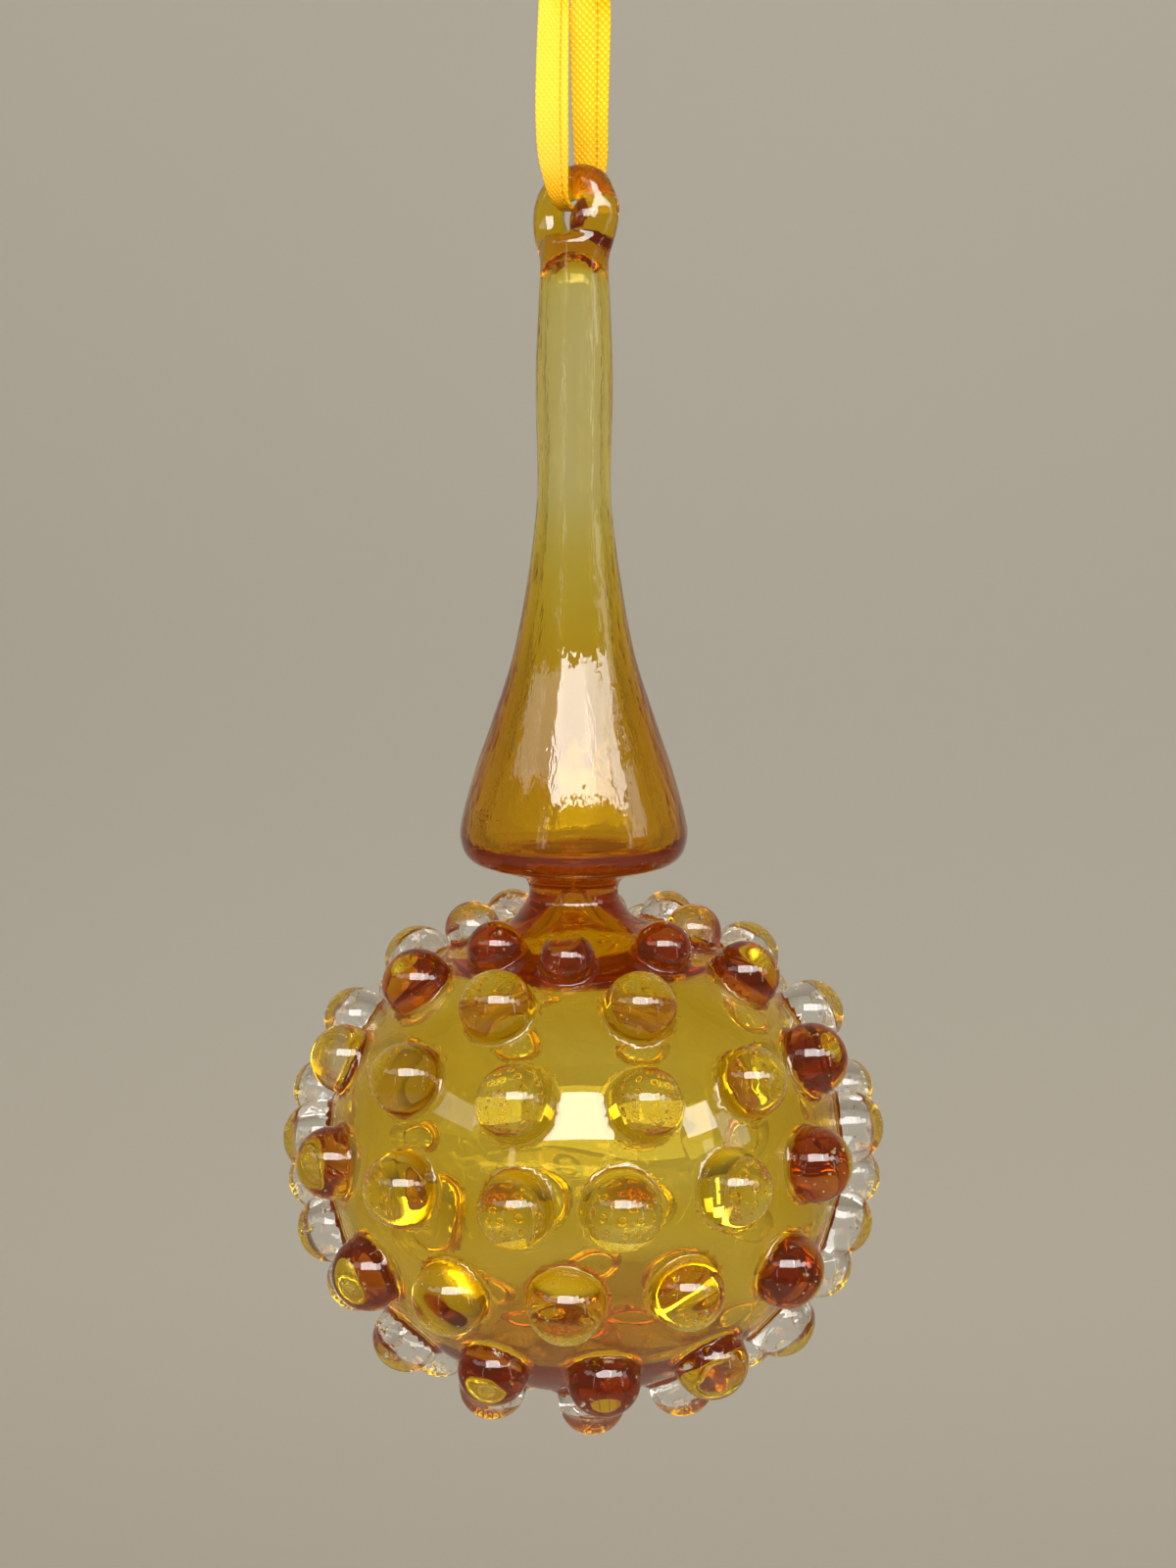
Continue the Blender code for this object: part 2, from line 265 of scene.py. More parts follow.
# The seeds aren't free draws. A search tried many for each of the first twelve rows, and kept the one
# whose prunts come nearest to the real ones' places and touch no others. The row at -76 degrees was
# searched only for prunts that don't touch.
PRUNT_ROWS = (  # latitude, count, first longitude, step, radius and rise in mm, seed of its wander
    (64.0, 8, -7.0, 45.0, 3.7, 1.0, 5361), (49.0, 8, -23.0, 45.0, 4.7, 1.0, 39949),
    (26.6, 6, -76.0, 29.5, 4.75, 1.0, 15054), (4.8, 8, -90.0, 25.0, 4.9, 1.0, 50639),
    (-17.5, 7, -79.0, 26.3, 4.8, 1.0, 44658), (-42.0, 5, -64.0, 33.0, 4.7, 1.0, 10726),
    (-64.0, 3, -42.0, 44.0, 4.5, 1.0, 35034), (31.5, 6, 99.0, 32.4, 4.5, 1.6, 42703),
    (12.5, 6, 100.0, 32.0, 4.2, 2.4, 13228), (-7.0, 6, 100.0, 32.0, 4.3, 2.4, 47442),
    (-31.0, 6, 96.0, 33.6, 4.4, 2.2, 50179), (-55.0, 5, 98.0, 41.0, 4.4, 1.6, 4618),
    (-76.0, 3, 125.0, 55.0, 4.2, 1.0, 106), (-90.0, 1, 0.0, 0.0, 4.1, 1.0, 1),
)
PRUNT_LATITUDE_WANDER_DEG = 2.0
PRUNT_LONGITUDE_WANDER_DEG = 5.0
PRUNT_SIZE_WANDER = 0.04
LOOP_CENTRE_MM = np.array((0.4, 0.0, -36.3))
LOOP_BACK_LEG_MM = (  # x, y, z from the loop's centre, radius of the rod
    (-0.6, 0.9, -7.2, 2.5), (-2.6, 1.7, -4.4, 2.4), (-3.5, 2.3, -1.0, 2.05), (-2.8, 2.2, 2.0, 2.0),
    (-0.4, 1.2, 3.7, 2.2), (2.0, 0.0, 3.3, 2.35), (3.2, -0.9, 0.6, 2.3),
)
LOOP_FRONT_LEG_MM = (
    (2.6, -0.5, 2.2, 1.9), (3.15, -1.0, 0.0, 2.3), (2.5, -1.2, -3.0, 2.5), (0.9, -1.0, -6.2, 2.6),
)
LOOP_TONGUE_CENTRE_MM = np.array((1.45, -2.0, -1.5))
LOOP_TONGUE_RADII_MM = np.array((2.25, 1.8, 3.1))
LOOP_REACH_DOWN_MM = 14.0


def prunt_sites():
    """Foot and centre from the ball's centre, outward direction and radius of each prunt, in mm.

    A prunt's centre is raised along the ball's normal from a place on the ball that wanders a
    little from an even row, as a glassmaker's hand does."""
    sites = []
    for latitude, count, first, step, radius, rise, seed in PRUNT_ROWS:
        wander = random.Random(seed)
        for index in range(count):
            sites.append((latitude + wander.uniform(-1, 1) * PRUNT_LATITUDE_WANDER_DEG,
                          first + step * index + wander.uniform(-1, 1) * PRUNT_LONGITUDE_WANDER_DEG,
                          radius * (1 + wander.uniform(-1, 1) * PRUNT_SIZE_WANDER), rise))
    lat, lon, radius, rise = np.array(sites).T
    lat, lon = np.radians(lat), np.radians(lon)
    on_ball = np.stack([np.cos(lat) * np.sin(lon), -np.cos(lat) * np.cos(lon), np.sin(lat)], 1)
    on_ball *= BALL_RADII_MM
    outward = on_ball / BALL_RADII_MM ** 2
    outward /= np.linalg.norm(outward, axis=1)[:, None]
    return on_ball, on_ball + outward * rise[:, None], outward, radius


prunt_foot, prunt_centre, prunt_out, prunt_radius = prunt_sites()
print("prunts:", len(prunt_radius))

# %% Dents under the prunts
DENT_DEPTH_MM = 0.45


def dent_depth(points):
    """How far the ball's wall is pushed in at each point: a soft dent behind every prunt.

    A hot dab softens the thin wall behind it, so the wall is taken to have given way there and
    nowhere else. To the eye the dents are a small thing: they put bright streaks into a few of the
    prunts at the sides, and keep one of those from looking brown."""
    from_ball = points - BALL_CENTRE_MM
    on_ball = from_ball / np.linalg.norm(from_ball / BALL_RADII_MM, axis=1)[:, None]
    gap = (on_ball ** 2).sum(1)[:, None] + (prunt_foot ** 2).sum(1) - 2 * on_ball @ prunt_foot.T
    return DENT_DEPTH_MM * (np.clip(1 - gap / prunt_radius ** 2, 0, 1) ** 2).sum(1)


# %% Distances to each form, and the soft minimum that fuses them
JOIN_PRUNT_MM = 0.7
JOIN_NECK_MM = 1.5
JOIN_LOOP_MM = 0.9
JOIN_LEGS_MM = 0.5
JOIN_TONGUE_MM = 0.35
ROD_STEPS = 10

spire_rows = smooth_rows(SPIRE_STATIONS_MM, PROFILE_STEPS)


def fused(a, b, reach):
    """The smaller of two distances, rounded where they differ by less than reach.

    It takes off a quarter of reach where they are equal, and less by the square of the share."""
    share = np.clip(reach - np.abs(a - b), 0.0, None) / reach
    return np.minimum(a, b) - share ** 2 * reach / 4


def egg_distance(points, radii):
    """Distance to an ellipsoid round the origin: k(k - 1) over the length of its own gradient."""
    k = np.linalg.norm(points / radii, axis=1)
    return k * (k - 1) / np.maximum(np.linalg.norm(points / radii ** 2, axis=1), 1e-9)


def in_spire(points):
    """Points in the spire's own axes: its foot is the origin, and its lean is taken off."""
    lean = math.radians(SPIRE_LEAN_DEG)
    x, y, z = (points - SPIRE_FOOT_MM).T
    cosine, sine = math.cos(lean), math.sin(lean)
    return np.stack([x * cosine - z * sine, y, x * sine + z * cosine], 1)


def turned_distance(points, rows, top, corner):
    """Distance to a form turned on the spire's axis: radius beyond its profile, over the slant of
    the profile, cut off flat at its foot and softly at its top."""
    x, y, z = in_spire(points).T
    radius = np.interp(z, rows[:, 0], rows[:, 1])
    slope = np.interp(z, rows[:, 0], np.gradient(rows[:, 1], rows[:, 0]))
    side = (np.hypot(x, y) - radius) / np.sqrt(1 + slope ** 2)
    return -fused(-side, -np.maximum(z - top, rows[0, 0] - z), corner)


def prunt_distance(points):
    """Distance to the nearest prunt, which is a sphere."""
    from_ball = points - BALL_CENTRE_MM
    nearest = np.argmin((prunt_centre ** 2).sum(1) - 2 * from_ball @ prunt_centre.T, axis=1)
    return np.linalg.norm(from_ball - prunt_centre[nearest], axis=1) - prunt_radius[nearest]


def rod_distance(points, rows):
    """Distance to a rod: to the nearest point on its middle line, less the rod's radius there."""
    line = smooth_rows(rows, ROD_STEPS)
    start, run = line[:-1], np.diff(line, axis=0)
    from_start = points[:, None, :] - start[None, :, :3]
    share = (from_start * run[:, :3]).sum(2) / (run[:, :3] ** 2).sum(1)
    share = np.clip(share, 0, 1)
    gap = np.linalg.norm(from_start - share[..., None] * run[:, :3], axis=2)
    return (gap - start[:, 3] - share * run[:, 3]).min(1)


def loop_distance(points, sunk=0.0):
    """Distance to the curled loop, or to the same loop sunk by a depth on every side."""
    at_loop = points - LOOP_CENTRE_MM
    legs = [rod_distance(at_loop, leg) + sunk for leg in (LOOP_BACK_LEG_MM, LOOP_FRONT_LEG_MM)]
    tongue = egg_distance(at_loop - LOOP_TONGUE_CENTRE_MM, LOOP_TONGUE_RADII_MM) + sunk
    return fused(fused(*legs, JOIN_LEGS_MM), tongue, JOIN_TONGUE_MM)


def with_loop(whole, points, sunk=0.0):
    """A distance with the loop's added, worked out only for the points near the loop."""
    near = points[:, 2] > LOOP_CENTRE_MM[2] - LOOP_REACH_DOWN_MM
    if near.any():
        whole[near] = fused(whole[near], loop_distance(points[near], sunk), JOIN_LOOP_MM)
    return whole


def glass_distance(points):
    """Distance to the whole glass: the ball and its prunts, the spire, and the curled loop."""
    ball = egg_distance(points - BALL_CENTRE_MM, BALL_RADII_MM)
    spire = turned_distance(points, spire_rows, SPIRE_TOP_MM, SPIRE_TOP_CORNER_MM)
    whole = fused(ball, spire, JOIN_NECK_MM)
    whole = fused(whole, prunt_distance(points), JOIN_PRUNT_MM)
    return with_loop(whole, points)


def distance_slope(distance, points, step=0.03):
    """The direction in which a distance grows: differences over a small step along each axis."""
    slope = np.stack([distance(points + axis) - distance(points - axis) for axis in np.eye(3) * step], 1)
    length = np.linalg.norm(slope, axis=1)[:, None]
    return slope / np.maximum(length, 1e-9), length / (2 * step)


# %% [markdown]
# ## Closed forms made of rings
#
# A ball, the turned spire and a bent rod are all the same kind of mesh: rings of points, one after
# the other, closed by a point at each end. A rough draft of the glass is put together from them,
# each one closed, and a voxel remesh draws one even skin over them all.

# %% Closed forms made of rings
AXIS_MOVES_FROM_MM = 20.0
AXIS_MOVES_OVER_MM = 14.0
WAVES = ((3, 0.11, 1.0), (5, -0.23, 0.7), (2, 0.37, 0.5))  # waves round, twist per mm, share
DRAFT_EVERY_ROW = 8
DRAFT_SPIRE_SIDES = 64
DRAFT_ROD_STEPS = 3
DRAFT_PRUNT_ROWS = 13
DRAFT_PRUNT_SIDES = 20


def axis_at(height):
    """The X of the turned axis at a height: the ball's below the neck, the spire's above it."""
    share = np.clip((height - AXIS_MOVES_FROM_MM) / AXIS_MOVES_OVER_MM, 0.0, 1.0)
    share = share * share * (3 - 2 * share)
    spire = SPIRE_FOOT_MM[0] + height * math.sin(math.radians(SPIRE_LEAN_DEG))
    return BALL_CENTRE_MM[0] * (1 - share) + spire * share


def turned_surface(height, radius, sides, wave=0.0):
    """Rings of points round the moving axis, with a slight wave in their radius if asked."""
    angle = np.arange(sides) / sides * 2 * np.pi
    h, r = height[:, None], radius[:, None]
    swell = 1 + wave * sum(share * np.sin(count * angle + twist * h) for count, twist, share in WAVES)
    x = axis_at(h) + r * swell * np.sin(angle)
    y = -r * swell * np.cos(angle)
    z = np.broadcast_to(h + SPIRE_FOOT_MM[2], x.shape)
    return np.stack([x, y, z], -1)


def capped_rings(rings):
    """Points and faces of stacked rings closed by a point at each end, facing outwards.

    The first and last rings have no radius, so each is one point, and a fan of triangles closes it."""
    rows, columns = rings.shape[0] - 2, rings.shape[1]
    points = np.vstack([rings[1:-1].reshape(-1, 3), rings[0, :1], rings[-1, :1]])
    ring = np.arange(columns)
    after, last = (ring + 1) % columns, (rows - 1) * columns
    low = np.stack([after, ring, np.full(columns, rows * columns)], 1)
    high = np.stack([ring + last, after + last, np.full(columns, rows * columns + 1)], 1)
    return points, grid_faces(rows, columns).tolist() + low.tolist() + high.tolist()


def outward_piece(name, points, faces, inside_out=False):
    """A piece whose faces all point out of its own form, or into it for a hollow."""
    piece = make_piece(name, points, faces)
    shell = bmesh.new()
    shell.from_mesh(piece.data)
    bmesh.ops.recalc_face_normals(shell, faces=shell.faces)
    if inside_out:
        bmesh.ops.reverse_faces(shell, faces=shell.faces)
    shell.to_mesh(piece.data)
    shell.free()
    return piece


def egg_rings(centre, radii, rows=24, sides=48):
    """Rings of an ellipsoid from its bottom point to its top point."""
    polar = np.linspace(0, np.pi, rows)[:, None]
    angle = np.arange(sides) / sides * 2 * np.pi
    round_it = np.stack([np.sin(polar) * np.sin(angle), -np.sin(polar) * np.cos(angle),
                         -np.cos(polar) * np.ones(sides)], -1)
    return centre + round_it * radii


def rod_rings(rows, sunk, sides=16):
    """Rings round a rod's middle line, closed by a point at each end."""
    rows = smooth_rows(rows, DRAFT_ROD_STEPS)
    along = np.gradient(rows[:, :3], axis=0)
    side = np.cross(along, (0.0, 1.0, 0.0))
    side /= np.linalg.norm(side, axis=1)[:, None]
    up = np.cross(side, along)
    up /= np.linalg.norm(up, axis=1)[:, None]
    angle = np.arange(sides)[:, None] / sides * 2 * np.pi
    spoke = side[:, None] * np.cos(angle) + up[:, None] * np.sin(angle)
    rings = rows[:, None, :3] + spoke * (rows[:, 3] - sunk)[:, None, None]
    ends = [np.repeat(rows[end:end + 1, None, :3], sides, axis=1) for end in (0, len(rows) - 1)]
    return np.concatenate([ends[0], rings, ends[1]]) + LOOP_CENTRE_MM


def merged(pieces, name):
    """Several pieces as one mesh on the first of them, under a new name."""
    shell = bmesh.new()
    for piece in pieces:
        shell.from_mesh(piece.data)
    shell.to_mesh(pieces[0].data)
    shell.free()
    for piece in pieces[1:]:
        bpy.data.objects.remove(piece)
    pieces[0].name = pieces[0].data.name = name
    return pieces[0]


def drafted(forms, voxel_mm):
    """Points in mm, quads and edges of one even voxel skin over several closed forms."""
    draft = merged([outward_piece("form", *capped_rings(rings)) for rings in forms], "draft")
    remesh = draft.modifiers.new("even_faces", "REMESH")
    remesh.mode = "VOXEL"
    remesh.voxel_size = voxel_mm * MM
    fine = bpy.data.meshes.new_from_object(draft.evaluated_get(bpy.context.evaluated_depsgraph_get()))
    points = np.zeros(len(fine.vertices) * 3, np.float32)
    fine.vertices.foreach_get("co", points)
    quads = np.array([face.vertices[:] for face in fine.polygons])
    edges = np.zeros(len(fine.edges) * 2, np.int32)
    fine.edges.foreach_get("vertices", edges)
    bpy.data.objects.remove(draft)
    bpy.data.meshes.remove(fine)
    return points.reshape(-1, 3).astype(float) / MM, quads, edges.reshape(-1, 2)


def glass_forms(sunk, spire, top):
    """The drafts of the ball, the spire from its rows, and the three parts of the loop."""
    stem = np.vstack([(spire[0, 0], 0.0), spire[::DRAFT_EVERY_ROW], (top, 0.0)])
    return [egg_rings(BALL_CENTRE_MM, BALL_RADII_MM - sunk),
            turned_surface(stem[:, 0], stem[:, 1], DRAFT_SPIRE_SIDES),
            rod_rings(LOOP_BACK_LEG_MM, sunk), rod_rings(LOOP_FRONT_LEG_MM, sunk),
            egg_rings(LOOP_CENTRE_MM + LOOP_TONGUE_CENTRE_MM, LOOP_TONGUE_RADII_MM - sunk)]


# %% [markdown]
# ## The glass's skin
#
# The skin starts as the even faces drawn over the draft. Then every point slides down the distance
# onto the true surface, and sideways to keep the faces even. The normals come from the distance as
# well, so reflections run smoothly over each prunt.

# %% The skin of the glass
SKIN_VOXEL_MM = 0.8
SKIN_ROUNDS = 5
SLIDE_LIMIT_MM = 0.6
LEAST_STEEPNESS = 0.5
EVENING_SHARE = 0.5


def neighbour_mean(points, edges):
    """The mean of each point's neighbours along the edges."""
    here, there = np.concatenate([edges, edges[:, ::-1]]).T
    count = np.bincount(here, minlength=len(points))
    total = [np.bincount(here, points[there, axis], len(points)) for axis in range(3)]
    return np.stack(total, 1) / np.maximum(count, 1)[:, None]


def settled(distance, points, edges, rounds):
    """Points slid onto the surface of a distance, and evened out along it between the slides.

    After the last two slides they aren't evened out, so they end on the surface."""
    for turn in range(rounds):
        slope, steepness = distance_slope(distance, points)
        step = distance(points)[:, None] / np.maximum(steepness, LEAST_STEEPNESS)
        points = points - slope * np.clip(step, -SLIDE_LIMIT_MM, SLIDE_LIMIT_MM)
        if turn < rounds - 2:
            pull = neighbour_mean(points, edges) - points
            pull -= slope * (pull * slope).sum(1)[:, None]
            points = points + EVENING_SHARE * pull
    return points


prunt_forms = [egg_rings(BALL_CENTRE_MM + centre, radius, DRAFT_PRUNT_ROWS, DRAFT_PRUNT_SIDES)
               for centre, radius in zip(prunt_centre, prunt_radius)]
skin_points, skin_quads, skin_edges = drafted(glass_forms(0.0, spire_rows, SPIRE_TOP_MM) + prunt_forms,
                                              SKIN_VOXEL_MM)
skin_points = settled(glass_distance, skin_points, skin_edges, SKIN_ROUNDS)
skin_normals = distance_slope(glass_distance, skin_points)[0]
left_over = np.abs(glass_distance(skin_points))
print("skin:", len(skin_points), "points,", 2 * len(skin_quads), "triangles, farthest off the surface",
      round(float(left_over.max()), 3), "mm")

# %% [markdown]
# ## The hollow inside
#
# The ornament was blown: there is air in the ball, in the bell and up the stem. The air narrows to
# a fine channel where the bell's floor closes over the neck, and opens like a trumpet below it.
# The hollow is turned from one profile, on an axis that moves from the ball's to the spire's.

# %% The hollow
HOLLOW_STATIONS_MM = (  # height above the ball's centre, radius
    (-25.2, 0.0), (-25.1, 4.0), (-24.9, 9.5), (-24.4, 15.0), (-23.4, 19.6), (-21.4, 23.5), (-17.5, 27.1),
    (-11.0, 30.9), (-3.0, 33.0), (6.0, 32.5), (13.0, 29.9), (18.0, 26.7), (21.0, 23.9), (23.2, 21.3),
    (24.6, 19.3), (25.4, 17.7), (25.8, 15.8), (25.9, 13.2), (26.0, 10.9), (26.4, 9.1), (27.2, 7.4),
    (28.5, 5.7), (30.6, 3.7), (32.6, 2.3), (35.0, 1.4), (36.8, 1.0), (37.6, 0.35),
    (38.6, 0.22), (40.0, 0.25), (40.6, 0.9), (41.0, 4.0), (41.3, 7.6), (41.8, 10.3), (42.8, 11.6),
    (44.4, 11.7), (46.4, 11.2), (49.1, 10.2), (53.5, 8.7), (60.9, 6.7), (71.3, 4.95), (80.9, 4.0),
    (87.9, 3.7), (97.4, 3.5), (103.7, 3.55), (112.0, 3.3), (115.5, 3.1), (117.6, 2.5), (118.7, 1.5),
    (119.1, 0.0),
)
HOLLOW_SIDES = 180
HOLLOW_WAVE = 0.006
HOLLOW_LEAST_MM = 0.05
BALL_SPACING_MM = 1.1
SPIRE_SPACING_MM = 1.6
# Heights above the ball's centre.
BALL_SPACING_BELOW_MM = 30.0
HALF_SPACING_FROM_MM = 36.0
HALF_SPACING_TO_MM = 46.0
DENTS_END_MM = 32.0
DENTS_FADE_MM = 8.0


def spaced(rows):
    """Rows taken at even steps along a profile: short ones on the ball, longer ones on the spire,
    and the shortest where the bell's floor closes over the channel."""
    height = rows[1:, 0]
    pace = np.where(height < BALL_SPACING_BELOW_MM, BALL_SPACING_MM, SPIRE_SPACING_MM)
    at_floor = (height > HALF_SPACING_FROM_MM) & (height < HALF_SPACING_TO_MM)
    pace = np.where(at_floor, BALL_SPACING_MM / 2, pace)
    run = np.concatenate([[0], np.cumsum(np.linalg.norm(np.diff(rows, axis=0), axis=1) / pace)])
    even = np.linspace(0, run[-1], int(run[-1]) + 1)
    return np.stack([np.interp(even, run, column) for column in rows.T], 1)


def with_dents(rings):
    """Rings of the hollow with the part in the ball pushed in behind the prunts."""
    points = rings.reshape(-1, 3)
    way = (points - BALL_CENTRE_MM) / BALL_RADII_MM ** 2
    way /= np.linalg.norm(way, axis=1)[:, None]
    in_ball = np.clip((DENTS_END_MM - (points[:, 2] - BALL_CENTRE_MM[2])) / DENTS_FADE_MM, 0, 1)
    return (points - way * (dent_depth(points) * in_ball)[:, None]).reshape(rings.shape)


hollow_rows = smooth_rows(HOLLOW_STATIONS_MM, PROFILE_STEPS)
hollow_rows[:, 1] = np.clip(hollow_rows[:, 1], 0.0, None)
hollow_rows = spaced(hollow_rows)
hollow_rows[1:-1, 1] = np.maximum(hollow_rows[1:-1, 1], HOLLOW_LEAST_MM)
hollow_rings = with_dents(turned_surface(hollow_rows[:, 0], hollow_rows[:, 1], HOLLOW_SIDES, HOLLOW_WAVE))
print("hollow:", len(hollow_rows), "rings of", HOLLOW_SIDES)

# %% The glass piece: its skin with the hollow inside
def glass_piece():
    """The skin and the hollow in one mesh, so that the hollow is a true cavity in the glass.

    The skin's points come first and take their normals from the distance."""
    hollow = outward_piece("hollow", *capped_rings(hollow_rings), inside_out=True)
    glass = merged([make_piece("blown_glass", skin_points, skin_quads), hollow], "blown_glass")
    glass.data.update()
    normals = np.zeros(len(glass.data.vertices) * 3, np.float32)
    glass.data.vertices.foreach_get("normal", normals)
    normals = normals.reshape(-1, 3)
    normals[:len(skin_points)] = skin_normals
    glass.data.normals_split_custom_set_from_vertices(normals.tolist())
    return glass


glass = glass_piece()
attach(glass, "root")
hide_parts(GLASS_NODE)
print("glass:", sum(len(face.vertices) - 2 for face in glass.data.polygons), "triangles")

# %% [markdown]
# ## The amber layer
#
# The colour isn't on the surface. Amber glass was gathered first and cased in clear glass, and the
# prunts are clear dabs put on at the end. So the colour is a body of its own inside the glass: it
# lies round the hollow, thin in the drawn-out stem, and fills the ball's wall, the neck and the
# floor of the bell. It bends no light, because it is the same glass. It darkens what passes, and
# it gives out a faint amber light of its own, which is a painted glow.

# %% The amber layer
AMBER_SUNK_MM = 0.12
AMBER_VOXEL_MM = 0.8
AMBER_SPIRE_STATIONS_MM = (  # height above the ball's centre, radius
    (26.0, 9.6), (28.0, 9.7), (31.3, 8.1), (34.9, 5.9), (37.4, 6.6), (38.7, 10.2), (40.0, 12.9),
    (42.0, 14.2), (44.0, 14.4), (46.4, 13.8), (49.1, 12.8), (53.5, 11.2), (60.9, 8.9), (71.3, 6.4),
    (80.9, 4.9), (87.9, 4.25), (97.4, 4.0), (103.7, 4.05), (112.0, 3.85), (117.0, 3.8), (121.0, 3.9),
)
AMBER_TOP_MM = 121.0
AMBER_TOP_CORNER_MM = 1.0
AMBER_DENTS_BELOW_MM = 34.0  # above the ball's centre
INNER_GAP_MM = 0.05

amber_rows = smooth_rows(AMBER_SPIRE_STATIONS_MM, PROFILE_STEPS)


def amber_distance(points):
    """Distance to the amber's outer face: the ball and the loop just under their own skins, and a
    spire of its own."""
    ball = egg_distance(points - BALL_CENTRE_MM, BALL_RADII_MM - AMBER_SUNK_MM)
    low = points[:, 2] < BALL_CENTRE_MM[2] + AMBER_DENTS_BELOW_MM
    ball[low] += dent_depth(points[low])
    spire = turned_distance(points, amber_rows, AMBER_TOP_MM, AMBER_TOP_CORNER_MM)
    whole = fused(ball, spire, JOIN_NECK_MM)
    return with_loop(whole, points, AMBER_SUNK_MM)


def grown_profile(rows, gap):
    """A profile moved outwards by a gap along its own normal, ends kept on the axis."""
    slope = np.gradient(rows, axis=0)
    slope /= np.maximum(np.linalg.norm(slope, axis=1), 1e-9)[:, None]
    moved = rows + np.stack([-slope[:, 1], slope[:, 0]], 1) * gap
    moved[0], moved[-1] = rows[0] - (gap, 0.0), rows[-1] + (gap, 0.0)
    return moved


def amber_piece():
    """One even skin over the sunk ball, spire and loop, and the hollow inside it."""
    points, quads, edges = drafted(glass_forms(AMBER_SUNK_MM, amber_rows, AMBER_TOP_MM), AMBER_VOXEL_MM)
    outer = make_piece("amber_layer", settled(amber_distance, points, edges, SKIN_ROUNDS), quads)
    inner = grown_profile(hollow_rows, INNER_GAP_MM)
    inner_rings = turned_surface(inner[:, 0], inner[:, 1], HOLLOW_SIDES, HOLLOW_WAVE)
    inside = outward_piece("amber_inside", *capped_rings(with_dents(inner_rings)), inside_out=True)
    return merged([outer, inside], "amber_layer")


amber = amber_piece()
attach(amber, "root")
print("amber layer:", len(amber.data.polygons), "faces")

# %% [markdown]
# ## Seeds
#
# Hand-gathered glass is full of tiny bubbles, which a glassmaker calls seeds. Each is a small round
# hole in the glass, so its faces look into the hole. There are up to eighteen in each prunt, and a
# cluster where the bell's floor was sealed.

# %% Seeds
SEEDS_PER_PRUNT = 18
SEED_RADII_MM = (0.07, 0.2)
SEED_DEPTH_SHARE = (0.45, 0.93)
BELL_SEEDS = 40
BELL_SEED_PLACE_MM = np.array((-10.6, -5.2, -114.6))
BELL_SEED_SPREAD_MM = np.array((0.65, 0.5, 0.85))
SEED_INWARD_LIMIT = -0.1
SEED_COVER_RADII = 2.5
SEED_DRAW = 11


def seed_places():
    """Centres and radii of the seeds: in the outer part of each prunt, and in the bell's cluster.

    Those too near the glass's skin are left out."""
    draw = np.random.default_rng(SEED_DRAW)
    count = len(prunt_radius) * SEEDS_PER_PRUNT
    owner = np.repeat(np.arange(len(prunt_radius)), SEEDS_PER_PRUNT)
    way = draw.normal(size=(count, 3))
    way /= np.linalg.norm(way, axis=1)[:, None]
    inward = (way * prunt_out[owner]).sum(1) < SEED_INWARD_LIMIT
    way[inward] -= 2 * (way[inward] * prunt_out[owner[inward]]).sum(1)[:, None] * prunt_out[owner[inward]]
    depth = draw.uniform(*SEED_DEPTH_SHARE, count)
    places = prunt_centre[owner] + way * (depth * prunt_radius[owner])[:, None] + BALL_CENTRE_MM
    cluster = BELL_SEED_PLACE_MM + draw.normal(size=(BELL_SEEDS, 3)) * BELL_SEED_SPREAD_MM
    places = np.vstack([places, cluster])
    radii = SEED_RADII_MM[0] + (SEED_RADII_MM[1] - SEED_RADII_MM[0]) * draw.random(len(places)) ** 2
    inside = glass_distance(places) < -SEED_COVER_RADII * radii
    return places[inside], radii[inside]


def seed_piece():
    """Every seed as one small icosahedron-based ball, all in one mesh, facing into the holes."""
    shell = bmesh.new()
    bmesh.ops.create_icosphere(shell, subdivisions=2, radius=1.0)
    ball = np.array([vertex.co[:] for vertex in shell.verts])
    ball_faces = np.array([[vertex.index for vertex in face.verts][::-1] for face in shell.faces])
    shell.free()
    places, radii = seed_places()
    points = places[:, None, :] + ball[None] * radii[:, None, None]
    faces = ball_faces[None] + (np.arange(len(places)) * len(ball))[:, None, None]
    return make_piece("glass_seeds", points.reshape(-1, 3), faces.reshape(-1, 3))


seeds = seed_piece()
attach(seeds, "root")
print("seeds:", len(seeds.data.polygons), "triangles")

# %% [markdown]
# ## Materials
#
# One function turns an sRGB hex colour into the linear numbers that a shader takes, and one adds a
# node with its settings and its links.

# %% Colours and nodes
def linear(hex_colour):
    """An sRGB hex colour as linear red, green, blue and a full alpha."""
    values = [int(hex_colour[i:i + 2], 16) / 255 for i in (1, 3, 5)]
    return tuple(v / 12.92 if v <= 0.04045 else ((v + 0.055) / 1.055) ** 2.4 for v in values) + (1.0,)


def add_node(tree, kind, links=None, inputs=None, **settings):
    """One node: its settings, its plain input values, and links from sockets to its inputs."""
    node = tree.nodes.new(kind)
    for key, value in settings.items():
        setattr(node, key, value)
    for key, value in (inputs or {}).items():
        node.inputs[key].default_value = value
    for key, socket in (links or {}).items():
        tree.links.new(socket, node.inputs[key])
    return node


def new_material(name):
    """An empty node material with its output node."""
    material = bpy.data.materials.new(name)
    material.use_nodes = True
    material.node_tree.nodes.clear()
    output = add_node(material.node_tree, "ShaderNodeOutputMaterial")
    return material, material.node_tree, output


# %% Clear soda-lime glass
GLASS_IOR = 1.52
RIPPLE_SIZE_MM = 7.0
RIPPLE_DEPTH_MM = 0.03
STREAK_WIDTH_MM = 1.7
STREAK_LENGTH_MM = 13.0
STREAK_DEPTH_MM = 0.15
STREAKS_START_MM = -124.0
STREAKS_FULL_MM = -112.0


